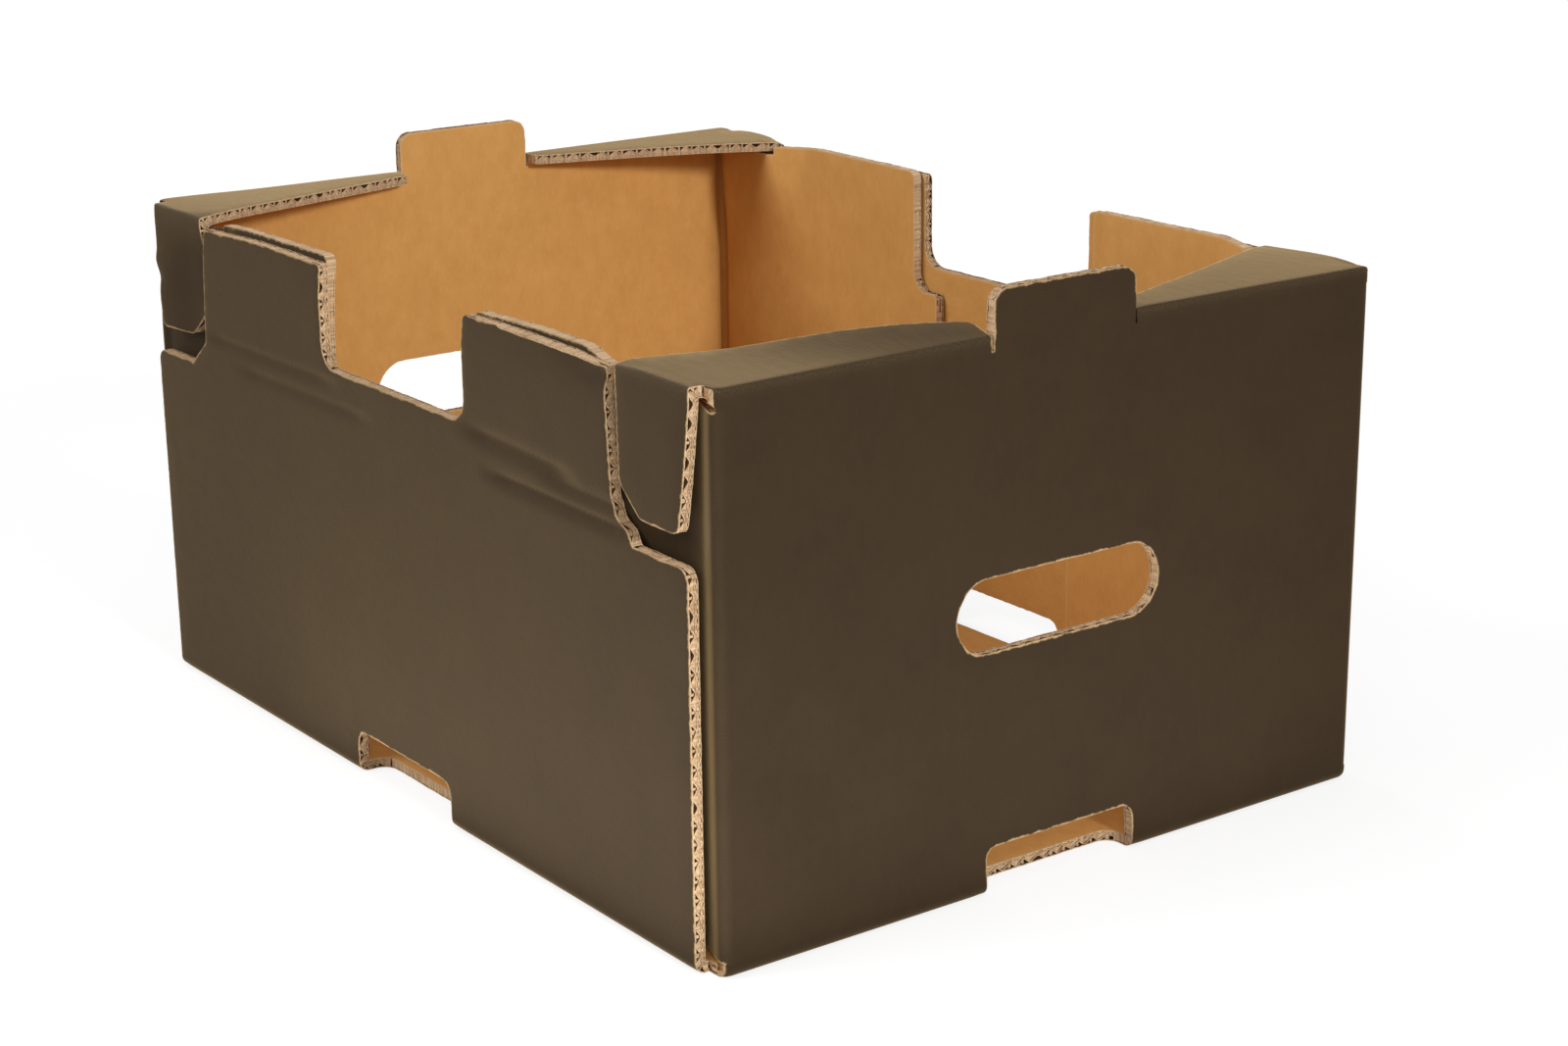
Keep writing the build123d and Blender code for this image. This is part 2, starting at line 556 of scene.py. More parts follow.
# Walls
side_bow = 2.8
side_bow_reach = 0.98  # as a share of half the length
side_bow_level = (0.0, 150.0)
side_bow_shelf = 60.0  # across, where a shelf starts to follow the side
front_bow = 3.4
front_bow_reach = 0.95  # as a share of half the width
front_bow_levels = (0, 17, 60, 100, 196, 212)
front_bow_shares = (0, 0.3, 0.85, 1.0, 0.72, 0.72)
back_lean = 7.0  # of the back end's left corner
back_lean_across = (tab_side, 118.0)
back_lean_low = 147.0
back_lean_rise = 49.0
back_lean_loss = 0.6  # on the flap and the shelf, over the shelf's depth
back_lean_end = 1.66  # where that stops, in shelf depths
back_corner_rise = 1.5
back_corner_across = (70.0, 140.0)
back_corner_level = (140.0, 190.0)
back_corner_inset = 20.0  # how far the flap goes up with the corner
back_tab_drop = 1.1
back_tab_across = (tab_side, 90.0)
tab_lean = 2.0
tab_lean_level = (150.0, 200.0)
tab_lean_across = (36.0, 80.0)

# Shelves
turn_share = 0.9  # how much of the corner's radius the folds' ends follow
turn_inset = (2.0, 14.0)
shelf_lift = 1.2
sprung_shelf = 0.22  # how steeply the front left shelf stands up beside the tab
sprung_across = (shelf_start, 120.0)
sprung_inset = 1.0
corner_droop = {(-1, -1): 0.8, (1, -1): 0.0, (-1, 1): 0.6, (1, 1): 1.3}  # at the tongues
droop_half = 3.0
droop_inset = (36.0, 50.0)

# Flaps. Where there is one amount a corner, it goes by the signs of the corner's X and Y
score_share = 0.5  # how much of the board is pressed away inside the upright folds
score_reach = 2.6  # how far beside those folds that goes
flap_stretch = {(-1, -1): 0.03, (1, -1): -0.03, (-1, 1): -0.01, (1, 1): 0.014}
flap_gap = {(-1, -1): 0.2, (1, -1): 0.1, (-1, 1): 1.3, (1, 1): 0.1}
flap_gap_level = (165.0, 194.0)
flap_gap_inset = (54.0, 84.0)
near_groove = 4.2  # how far the front left flap stands off the side, beside its fold
near_groove_inset = (1.0, 18.0)
other_groove = 2.2
other_groove_inset = (-2.0, 9.0)
groove_end_inset = (25.0, 60.0)
near_flap_sag = 1.5  # of the front left flap's top, at the dip
near_flap_sag_inset = (100.0, 150.0)
near_flap_dent = 2.0  # the same, beside the shelf
near_flap_dent_inset = (64.0, 76.0)
near_flap_level = (150.0, 192.0)
right_flap_rise = 0.8
right_flap_hump = (60.0, 8.0)
right_flap_level = (172.0, 192.0)
flap_crowd = 3.2  # how far the right flaps' steps crowd the shelves
flap_crowd_hump = (56.0, 7.0)
flap_crowd_level = (176.0, 190.0)

# Tongues
drawn_in = {(-1, -1): 0.4, (1, -1): 6.6, (-1, 1): 1.0, (1, 1): 7.2}  # at their folds
drawn_first_inset = (4.0, 12.0)
drawn_last_inset = (25.0, 50.0)
drawn_end_inset = (51.0, 72.0)
drawn_across = 70.0  # where a shelf starts to be drawn in with them
drawn_drop = (4.0, 46.0)
drawn_level = (140.0, 188.0)  # on the flaps inside them
tongue_tuck = 3.4
tuck_inset = (8.0, 44.0)
tuck_drop = (3.0, 20.0)
tuck_level = (110.0, 150.0)
tuck_end_inset = (50.0, 78.0)
pressed_end = 4.0
pressed_inset = (tongue_inset, 17.0)
pressed_drop = (12.0, 40.0)
pressed_fold = 0.4  # the least share of that, at the fold
pressed_shelf = 0.6
pressed_shelf_inset = (2.0, 16.0)
tongue_ripples = ((174.0, 0.7), (166.5, -0.7))  # of the back left tongue, as (level, height)
ripple_half = 3.4

# Sides
upright = 0.99  # the share of its fold past which a side stands
shoulder_sag = 1.2  # beside the tongues
shoulder_sag_inset = (56.0, 100.0)
shoulder_sag_level = (150.0, 190.0)
dip_sag = 0.5  # of the left side's shoulders, at the dip
dip_sag_inset = (115.0, 148.0)
top_tilt = 0.1  # how steeply the tops of the left side's shoulders lean in
top_tilt_level = 184.0
top_tilt_inset = (50.0, 60.0)
corner_crease_low = 187.0  # where the crease of the front left shoulder starts, at the notch
corner_crease_inset = 56.0
corner_crease_slope = 0.1
corner_crease_in = 0.3  # how steeply the board goes in above that crease
corner_crease_back = 0.22  # and how steeply it comes back
corner_crease_width = 4.6
corner_crease_end_inset = (66.0, 100.0)
torn_liner = 0.8
torn_start = (74.0, 77.0)
torn_stop = (136.0, 142.0)

# Creases along the flutes of the left side, as
# (level, climb towards the dip, first and last Y, depth, half width)
near_creases = (
    (152.6, 0.022, 52.0, 124.0, 1.5, 2.6),
    (147.9, 0.0, 106.0, 158.0, 1.2, 1.8),
    (141.0, 0.0, 66.0, 162.0, 1.6, 1.9),
)
far_creases = (
    (150.5, 0.0, 44.0, 146.0, 0.9, 2.2),
    (142.0, 0.0, 20.0, 120.0, 0.8, 2.2),
)
crease_climb_inset = 100.0
crease_grows = np.array((-8.0, 14.0))  # from its first Y
crease_fades = np.array((-16.0, 6.0))  # from its last Y

# How pale the folds are, from rubbed print and a painted highlight along their crests
crest_half = 0.22  # as a share of the fold
floor_wear_and_highlight = 0.5
shelf_wear_and_highlight = 0.35
upright_wear_and_highlight = 0.16


def fold_path(share, depth, outside_radius=fold_round):
    """Where a fold takes a point: how far on, and how far round, from its first plate."""
    radius = np.maximum(outside_radius - depth, fold_crush)
    straight = bend - depth - radius
    arc = QUARTER_TURN * outside_radius
    arc_share = arc / (arc + 2 * (bend - outside_radius))
    arc_start = (1 - arc_share) / 2
    first = np.clip(share / arc_start, 0, 1)
    last = np.clip((share - 1 + arc_start) / arc_start, 0, 1)
    turn = np.clip((share - arc_start) / arc_share, 0, 1) * QUARTER_TURN
    on = straight * first + radius * np.sin(turn)
    round_corner = depth + radius * (1 - np.cos(turn)) + straight * last
    return on, round_corner


def place(u, v, depth):
    """Where a point of the flat blank goes when it is folded, at a depth in the board."""
    return folded(u, v, depth)[0]


def folded(u, v, depth):
    """A point's place when folded, and how close it is to the crest of a fold."""
    u = np.asarray(u, dtype=float)
    v = np.asarray(v, dtype=float)
    depth = np.broadcast_to(np.asarray(depth, dtype=float), u.shape)
    su = np.where(u < 0, -1.0, 1.0)
    sv = np.where(v < 0, -1.0, 1.0)
    a = np.abs(u)
    b = np.abs(v)
    x = a.copy()
    y = b.copy()
    z = depth.copy()
    wall = np.zeros_like(a)  # 1 on surfaces that face sideways, across X
    end = np.zeros_like(a)  # 1 on an end
    crest = np.zeros_like(a)

    def share_of(value, start, size=strip):
        return np.clip((value - start) / size, 0, 1)

    # A fold's crest is painted paler: rubbed print and a painted highlight
    def crest_of(part, share, wear_and_highlight):
        rubbed_and_highlight = wear_and_highlight * hump(share, 0.5, crest_half)
        return np.where(part, np.maximum(crest, rubbed_and_highlight), crest)

    low_part = b <= floor_v
    tab = (b > top_v) & (a < tab_line)
    flap_top_part = (a > flap_u) & (b < shelf_edge_v)
    flap_part = (b > wall_v) & (a > flat_half) & ((b <= top_v) | flap_top_part)
    shelf_part = (b > top_v) & ~tab & ~flap_part
    end_part = ~low_part & ~flap_part & ~shelf_part

    part = low_part & (a > floor_u)
    share = share_of(a, floor_u, round_strip)
    on, rise = fold_path(share, depth, corner_round)
    x = np.where(part, floor_u + on, x)
    z = np.where(part, rise + np.maximum(a - side_u, 0), z)
    wall = np.where(part, share, wall)
    crest = crest_of(part, share, floor_wear_and_highlight)

    beside = np.maximum(np.abs(a - flat_half - round_strip / 2) - round_strip / 2, 0)
    scored = depth * (1 - score_share * hump(beside, 0.0, score_reach))
    share = share_of(b, floor_v, round_strip)
    on, rise = fold_path(share, scored, corner_round)
    y = np.where(end_part, floor_v + on, y)
    z = np.where(end_part, rise + np.maximum(b - wall_v, 0), z)
    end = np.where(end_part, share, end)
    crest = crest_of(end_part, share, floor_wear_and_highlight)

    share = share_of(a, flat_half, round_strip)
    on, rise = fold_path(share, scored, corner_round)
    reach = np.maximum(a - flap_u, 0) * (1 + at_corners(su, sv, flap_stretch))
    x = np.where(flap_part, flat_half + on, x)
    y = np.where(flap_part, half_length - rise - reach, y)
    z = np.where(flap_part, bend + b - wall_v, z)
    wall = np.where(flap_part, share, wall)
    end = np.where(flap_part, 1 - share, end)
    crest = crest_of(flap_part, share, upright_wear_and_highlight)

    share = share_of(b, top_v)
    on, rise = fold_path(share, depth)
    y = np.where(shelf_part, half_length - rise - np.maximum(b - shelf_edge_v, 0), y)
    z = np.where(shelf_part, height - bend + on, z)
    end = np.where(shelf_part, 1 - share, end)
    crest = crest_of(shelf_part, share, shelf_wear_and_highlight)

    tongue_part = shelf_part & (a > floor_u)
    share = share_of(a, floor_u)
    on, rise = fold_path(share, depth)
    x = np.where(tongue_part, floor_u + on, x)
    z = np.where(tongue_part, height - rise - np.maximum(a - tongue_u, 0), z)
    wall = np.where(tongue_part, share, wall)
    crest = crest_of(tongue_part, share, shelf_wear_and_highlight)

    # The ends of the folds along an end turn with the upright folds
    past = np.clip(a - flat_half - bend + corner_round, 0, turn_share * corner_round)
    setback = corner_round - np.sqrt(corner_round ** 2 - past ** 2)
    turned = y - setback * fade(half_length - y, *turn_inset)
    y = np.where(end_part | shelf_part, turned, y)

    sheet = Sheet(
        x=x, y=y, z=z, a=a, su=su, sv=sv, wall=wall, end_share=end, setback=setback,
        low=low_part, end=end_part, flap=flap_part, shelf=shelf_part, tongue=tongue_part,
    )
    warp_walls(sheet)
    warp_shelves(sheet)
    warp_flaps(sheet)
    warp_back_end(sheet)
    warp_tongues(sheet)
    warp_sides(sheet)
    return sheet.places(), crest


def at_corners(su, sv, amounts):
    """The amount at each point's corner of the box."""
    values = np.zeros_like(su)
    for (sx, sy), amount in amounts.items():
        values = np.where((su == sx) & (sv == sy), amount, values)
    return values


class Sheet(SimpleNamespace):
    """Points of the folded sheet, the areas that they are in, and how far they are warped."""

    def __init__(self, **values):
        super().__init__(**values)
        self.inset = half_length - self.y
        self.drop = height - self.z
        self.left = self.su < 0
        self.right = self.su > 0
        self.front_left = self.left & (self.sv < 0)
        self.back_left = self.left & (self.sv > 0)
        self.shift = np.zeros((3, len(self.a)))

    def move(self, part, dx=0.0, dy=0.0, dz=0.0):
        """Shift the points of a part, where outwards is positive."""
        for axis, amount in enumerate((dx, dy, dz)):
            self.shift[axis] += np.where(part, amount, 0.0)

    def at_corners(self, amounts):
        return at_corners(self.su, self.sv, amounts)

    def places(self):
        x, y, z = np.stack([self.x, self.y, self.z]) + self.shift
        return np.stack([x * self.su, y * self.sv, z], axis=-1)


def warp_walls(s):
    """The sides and the front end bow in, and the back end's left corner leans in."""
    bow = np.clip(1 - (s.y / half_length / side_bow_reach) ** 2, 0, 1) ** 2
    bow = bow * ramp(s.z, *side_bow_level)
    follow = np.where(s.shelf, ramp(s.a, side_bow_shelf, floor_u), s.wall)
    s.move(True, dx=-side_bow * bow * follow)

    swell = np.clip(1 - (s.x / half_width / front_bow_reach) ** 2, 0, 1)
    swell = swell * np.interp(s.z, front_bow_levels, front_bow_shares)
    held = np.where(s.shelf, np.clip(1 - s.inset / shelf_depth, 0, 1), s.end_share)
    s.move(s.sv < 0, dy=-front_bow * swell * held)

    up = np.clip((s.z - back_lean_low) / back_lean_rise, 0, 1)
    corner = ramp(-s.su * s.a, *back_lean_across) * up
    fading = 1 - back_lean_loss * np.clip(s.inset / shelf_depth, 0, back_lean_end)
    fading = np.where(s.flap | s.shelf, fading, 1.0)
    s.move(s.back_left & ~s.low, dy=-back_lean * corner * fading)


def warp_shelves(s):
    """The shelves rise to their free edges, and the front left one springs up at the tab."""
    lift = shelf_lift * np.clip(s.inset / shelf_depth, 0, 1)
    lift = lift * np.clip(1 - (s.x / half_width) ** 4, 0, 1)
    spring = sprung_shelf * fade(s.a, *sprung_across) * np.maximum(s.inset - sprung_inset, 0)
    lift = np.where(s.front_left, lift + spring, lift)
    s.move(s.shelf & ~s.tongue, dz=lift)


def warp_flaps(s):
    """The flaps stand off the sides, most at the front left, and their tops sag or rise."""
    spread = s.at_corners(flap_gap) * ramp(s.z, *flap_gap_level) * ramp(s.inset, *flap_gap_inset)
    s.move(s.flap, dx=-spread)
    near = near_groove * ramp(s.inset, *near_groove_inset)
    other = other_groove * ramp(s.inset, *other_groove_inset)
    groove = np.where(s.front_left, near, other) * fade(s.inset, *groove_end_inset)
    s.move(s.flap, dx=-groove)
    sag = near_flap_sag * ramp(s.inset, *near_flap_sag_inset)
    sag = sag + near_flap_dent * fade(s.inset, *near_flap_dent_inset)
    s.move(s.flap & s.front_left, dz=-sag * ramp(s.z, *near_flap_level))
    rise = right_flap_rise * (1 + hump(s.inset, *right_flap_hump)) / 2
    s.move(s.flap & s.right, dz=rise * ramp(s.z, *right_flap_level))
    crowd = flap_crowd * hump(s.inset, *flap_crowd_hump) * ramp(s.z, *flap_crowd_level)
    s.move(s.flap & s.right, dy=crowd)


def warp_back_end(s):
    """The back end's left corner stands a little high, and its tab leans to the right."""
    back = (s.sv > 0) & ~s.low
    rise = back_corner_rise * ramp(s.a, *back_corner_across)
    rise = rise - back_tab_drop * fade(s.a, *back_tab_across)
    rise = np.where(s.shelf | (s.a > back_tab_across[1]), rise, 0.0)
    raised = back & s.left & ~(s.flap & (s.inset > back_corner_inset))
    s.move(raised, dz=rise * ramp(s.z, *back_corner_level))
    lean = tab_lean * ramp(s.z, *tab_lean_level) * fade(s.a, *tab_lean_across)
    s.move(back & (s.end | s.shelf), dx=s.su * lean)


def warp_tongues(s):
    """The tongues' folds are drawn in, with the flaps inside them, and their ends pressed in."""
    drawn = ramp(s.inset, *drawn_first_inset) + ramp(s.inset, *drawn_last_inset)
    drawn = s.at_corners(drawn_in) * drawn / 2 * fade(s.inset, *drawn_end_inset)
    hold = np.where(s.shelf, ramp(s.a, drawn_across, floor_u), 0.0)
    hold = np.where(s.tongue, fade(s.drop, *drawn_drop), hold)
    hold = np.where(s.flap, ramp(s.z, *drawn_level), hold)
    s.move(True, dx=-drawn * hold)
    bent = hump(s.a, floor_u + strip / 2, droop_half) * ramp(s.inset, *droop_inset)
    s.move(s.shelf, dz=-s.at_corners(corner_droop) * bent)

    # The back left tongue is tucked in behind the edge of the side
    tuck = tongue_tuck * ramp(s.inset, *tuck_inset) * s.wall
    s.move(s.tongue & s.back_left, dx=-tuck * ramp(s.drop, *tuck_drop))
    behind = tuck * ramp(s.z, *tuck_level) * fade(s.inset, *tuck_end_inset)
    s.move(s.flap & s.back_left, dx=-behind)

    # The right tongues' ends are pressed in beside the corners
    pressed = pressed_end * fade(s.inset, *pressed_inset) * fade(s.drop, *pressed_drop)
    s.move(s.tongue & s.right, dx=-pressed * np.maximum(s.wall, pressed_fold))
    pressed = pressed_shelf * s.setback * fade(s.inset, *pressed_shelf_inset)
    s.move(s.shelf & s.right, dz=-pressed)
    for level, rise in tongue_ripples:
        s.move(s.tongue & s.back_left, dx=rise * hump(s.z, level, ripple_half) * s.wall)


def warp_sides(s):
    """The shoulders sag and lean, and the left side is creased along its flutes."""
    side = s.low & (s.wall > upright)
    sag = shoulder_sag * fade(s.inset, *shoulder_sag_inset)
    sag = sag + np.where(s.left, dip_sag, 0.0) * ramp(s.inset, *dip_sag_inset)
    s.move(side, dz=-sag * ramp(s.z, *shoulder_sag_level))
    tilt = top_tilt * np.maximum(s.z - top_tilt_level, 0) * ramp(s.inset, *top_tilt_inset)
    s.move((side | s.flap) & s.left, dx=-tilt)

    # The front left shoulder's top is bent in, most beside the notch
    near = side & s.front_left
    over = s.z - corner_crease_low - (s.inset - corner_crease_inset) * corner_crease_slope
    bent = corner_crease_back * np.maximum(over - corner_crease_width, 0)
    bent = bent - corner_crease_in * np.clip(over, 0, corner_crease_width)
    s.move(near, dx=bent * fade(s.inset, *corner_crease_end_inset))

    for part, creases in ((near, near_creases), (side & s.back_left, far_creases)):
        for level, climb, first, last, depth, half in creases:
            shape = hump(s.z, level + climb * (s.inset - crease_climb_inset), half)
            reach = ramp(s.y, *(first + crease_grows)) * fade(s.y, *(last + crease_fades))
            s.move(part, dx=-depth * shape * reach)


def mesh_object(name, points, faces, materials, indexes, uvs, measures=None, smooth_angle=35.0):
    """A mesh piece of the tray, from points in millimetres."""
    mesh = bpy.data.meshes.new(name)
    corners = [tuple(int(i) for i in face) for face in faces]
    mesh.from_pydata((np.asarray(points) / TO_MM).tolist(), [], corners)
    for material in materials:
        mesh.materials.append(material)
    mesh.polygons.foreach_set("material_index", np.asarray(indexes, dtype=np.int32))
    mesh.polygons.foreach_set("use_smooth", np.ones(len(mesh.polygons), dtype=bool))
    layer = mesh.uv_layers.new(name="blank")
    loops = np.empty(len(mesh.loops), dtype=np.int32)
    mesh.loops.foreach_get("vertex_index", loops)
    layer.data.foreach_set("uv", (np.asarray(uvs)[loops] / TO_MM).astype(np.float32).ravel())
    for key, values in (measures or {}).items():
        attribute = mesh.attributes.new(key, "FLOAT", "POINT")
        attribute.data.foreach_set("value", np.asarray(values, dtype=np.float32))
    mesh.set_sharp_from_angle(angle=math.radians(smooth_angle))
    mesh.update()
    piece = bpy.data.objects.new(name, mesh)
    bpy.context.collection.objects.link(piece)
    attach(piece, "root")
    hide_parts("tray")
    return piece


# A liner's faces, and those of the papers between the liners, by their material's number
FACE, RIM, BACK = 0, 1, 2
# The hollows' material carries painted shade
CUT, SHADED_HOLLOW = 0, 1


def rim_edges(faces):
    """Edges with one triangle, each in the direction that its triangle runs."""
    pairs = np.concatenate([faces[:, [0, 1]], faces[:, [1, 2]], faces[:, [2, 0]]])
    keys = np.sort(pairs, axis=1)
    _, first, counts = np.unique(keys, axis=0, return_index=True, return_counts=True)
    return pairs[first[counts == 1]]


def rough_line(u, v, seed, size):
    """Smooth noise from about -1 to 1 at a place in the blank."""
    return noise.noise(Vector((u / size, v / size, seed)))


# How far round the corner folds, the right tongues' tops and the slit an edge is closed
hair = 0.5
fold_side = 2.0
fold_past = 2.5
fold_turn = 0.4
tongue_above = 1.0
tongue_below = 14.0
tongue_in = 3.5
slit_past = 0.8


def pressed_shut(u, v):
    """Whether a cut edge is closed tightly: at corner folds, right tongues and one slit."""
    a = np.abs(u)
    b = np.abs(v)
    at_fold = (a > flat_half - fold_side) & (a < flap_u + fold_side)
    at_top = (b > end_at(under_shelf) - fold_past) & (b < shelf_at(tongue_inset) - hair)
    at_foot = (b > floor_v - fold_past) & (b < end_at(low_edge) + fold_past)
    front_left = (u < 0) & (v < 0)
    own_side = at_top & (a < crease_end + fold_turn)
    at_corner = at_fold & (at_top | at_foot) & (~front_left | own_side)
    at_tongue = (u > 0) & (a > floor_u - tongue_above) & (a < tongue_u + tongue_below)
    at_tongue &= (b > shelf_edge_v - hair) & (b < shelf_at(tongue_inset) + tongue_in)
    at_slit = (a > tab_side - hair) & (a < shelf_start + slit_past)
    at_slit &= (b > top_v - slit_past) & (b < shelf_edge_v)
    return at_corner | at_tongue | (at_slit & (u > 0) & (v < 0))


def torn_back(u, v):
    """How far the outer liner is torn back, along the front left shoulder's top."""
    on_top = (u < 0) & (v < 0) & (np.abs(u) > side_at(shoulder_top) - hair)
    torn = ramp(np.abs(v), *torn_start) * fade(np.abs(v), *torn_stop)
    return np.where(on_top, torn_liner * torn, 0.0)


def liner_piece(name, blank, faces, gaps, near, far, outside, materials, seed):
    """One paper liner as a closed thin sheet, whose visible face is at the depth near."""
    edges = rim_edges(faces)
    points = blank.copy()
    on_rim = np.unique(edges)
    pull = np.zeros_like(points)
    for i, j in edges:
        d = points[j] - points[i]
        size = math.hypot(*d) or 1.0
        normal = np.array([-d[1], d[0]]) / size
        pull[i] += normal
        pull[j] += normal
    for i in on_rim:
        size = math.hypot(*pull[i])
        if size:
            u, v = points[i]
            rough = rim_rough[0] * rough_line(u, v, seed, rim_rough[1])
            rough += rim_wave[0] * rough_line(u, v, seed + 9, rim_wave[1])
            torn = float(torn_back(u, v)) if outside else 0.0
            points[i] += pull[i] / size * (rim_trim + rough + torn)
    crushed = rim_crush * np.exp(-gaps / rim_crush_reach)
    toward = 1.0 if far > near else -1.0
    face, crest = folded(points[:, 0], points[:, 1], near + toward * crushed)
    back = place(points[:, 0], points[:, 1], far + toward * crushed)
    count = len(points)
    flipped = faces[:, ::-1]
    front_faces, back_faces = (flipped, faces) if outside else (faces, flipped)
    rims = []
    for i, j in edges:
        quad = (i, j, j + count, i + count)
        rims.append(quad if outside else quad[::-1])
    all_faces = list(front_faces) + list(back_faces + count) + rims
    shut = pressed_shut(points[:, 0], points[:, 1])
    rim_looks = [FACE if shut[i] and shut[j] else RIM for i, j in edges]
    indexes = [FACE] * len(front_faces) + [BACK] * len(back_faces) + rim_looks
    gaps = np.where(shut, unworn, gaps)
    return mesh_object(
        name,
        np.concatenate([face, back]),
        all_faces,
        materials,
        indexes,
        np.concatenate([points, points]),
        {"cut_gap": np.tile(gaps, 2), "fold_crest": np.tile(crest, 2)},
    )


class Strips:
    """Closed strips of paper between the liners, gathered into one mesh."""

    def __init__(self):
        self.points = []
        self.faces = []
        self.uvs = []
        self.looks = []

    def add(self, front, back, lower, upper, cut_look=CUT, side_look=CUT):
        """A strip between two lines of the blank, from one depth to another."""
        base = sum(len(p) for p in self.points)
        count = len(front)
        for line, depth in ((front, lower), (front, upper), (back, upper), (back, lower)):
            self.points.append(place(line[:, 0], line[:, 1], depth))
            self.uvs.append(line)
        faces = []
        for k in range(count - 1):
            for side in range(4):
                a = base + side * count + k
                b = base + (side + 1) % 4 * count + k
                faces.append((a, b, b + 1, a + 1))
                self.looks.append(side_look if side else cut_look)
        faces.append(tuple(base + side * count for side in (3, 2, 1, 0)))
        faces.append(tuple(base + side * count + count - 1 for side in range(4)))
        self.looks += [side_look, side_look]
        # The faces look outwards on both sides of a mirror line
        (along_u, along_v), (in_u, in_v) = np.diff(front, axis=0).T, (back - front)[:-1].T
        inside_out = np.sum(along_u * in_v - along_v * in_u) > 0
        self.faces += [face[::-1] for face in faces] if inside_out else faces

    def band(self, spots, way, lower, upper, cut, cut_look=CUT, side_look=CUT):
        """A strip behind a cut edge: recessed and rough in front, and a given depth."""
        recess, rough, deep = cut
        coarse = np.array([abs(rough_line(u, v, seed=3.0 + recess, size=2.3)) for u, v in spots])
        fine = np.array([abs(rough_line(u, v, seed=7.0 + recess, size=1.1)) for u, v in spots])
        dip = recess + rough * (coarse + 0.5 * fine)
        front = spots + way * dip[:, None]
        self.add(front, spots + way * deep, lower, upper, cut_look, side_look)


def edge_runs():
    """Runs of the quarter's cut edges, as (points, inward directions, across the flutes)."""
    lean = np.abs(inward[:, 1])
    kinds = np.where(joins, 0, np.where(lean > across_lean, 1, 2))
    count = len(kinds)
    start = next(i for i in range(count) if kinds[i] != kinds[i - 1])
    order = [(start + i) % count for i in range(count)]
    runs = []
    current = []
    for i in order:
        if current and kinds[i] != kinds[current[-1]]:
            runs.append(current)
            current = []
        current.append(i)
    runs.append(current)
    for ids in runs:
        kind = kinds[ids[0]]
        if kind:
            line = np.concatenate([ring[ids], ring_next[ids[-1]][None]])
            middle = inward[ids].mean(axis=0)
            yield line, middle, kind == 1


def resampled(line, step):
    """Evenly spaced points along an open line."""
    sizes = np.hypot(*np.diff(line, axis=0).T)
    total = np.concatenate([[0], np.cumsum(sizes)])
    parts = max(2, int(math.ceil(total[-1] / step)))
    spots = np.linspace(0, total[-1], parts + 1)
    return np.stack([np.interp(spots, total, line[:, k]) for k in range(2)], axis=1)


def wave(spots, pitch, swing, paper):
    """The lower and upper side of a fluted paper, from its middle, along a cut edge."""
    turn = 2 * math.pi * spots[:, 0] / pitch
    rough = np.array([rough_line(u, v, seed=21.0, size=5.0) for u, v in spots])
    size = flute_size + flute_vary * rough
    middle = swing * size * np.cos(turn)
    slope = swing * 2 * math.pi / pitch * np.sin(turn)
    half = paper / 2 * np.sqrt(1 + slope * slope)
    return np.stack([middle - half, middle + half])


def plugs(spots, pitch):
    """Stretches of a cut edge where torn paper fills the flutes, as lists of point numbers."""
    number = np.round(spots[:, 0] / pitch)
    turn = 2 * math.pi * (spots[:, 0] / pitch - number)
    filled = []
    for k in np.unique(number):
        here = np.flatnonzero(number == k)
        luck = rough_line(k * pitch, spots[here[0], 1], seed=31.0, size=2.7)
        wide = plug_half + plug_vary * luck
        group = here[np.abs(turn[here] - plug_shift * luck) < wide]
        if luck > plug_least and len(group) > 2:
            filled.append(group)
    return filled


def open_parts(spots):
    """The parts of a cut edge that aren't closed tightly."""
    u, v = spots.T
    front_left = (u < 0) & (v < 0)
    still_open = np.flatnonzero(front_left | ~pressed_shut(u, v))
    parts = np.split(still_open, np.flatnonzero(np.diff(still_open) > 1) + 1)
    return [spots[part] for part in parts if len(part) > 2]


def crushed_shut(line):
    """Whether a cut edge is a flap's top, which is crushed, with its flutes closed."""
    return line[:, 0].min() > flap_u and line[:, 1].min() > end_at(dip_floor)


def on_shelf(line):
    """Whether a cut edge is a shelf's free edge, whose flutes are half closed."""
    return line[:, 0].max() < floor_u + rim and line[:, 1].min() > shelf_edge_v + rim


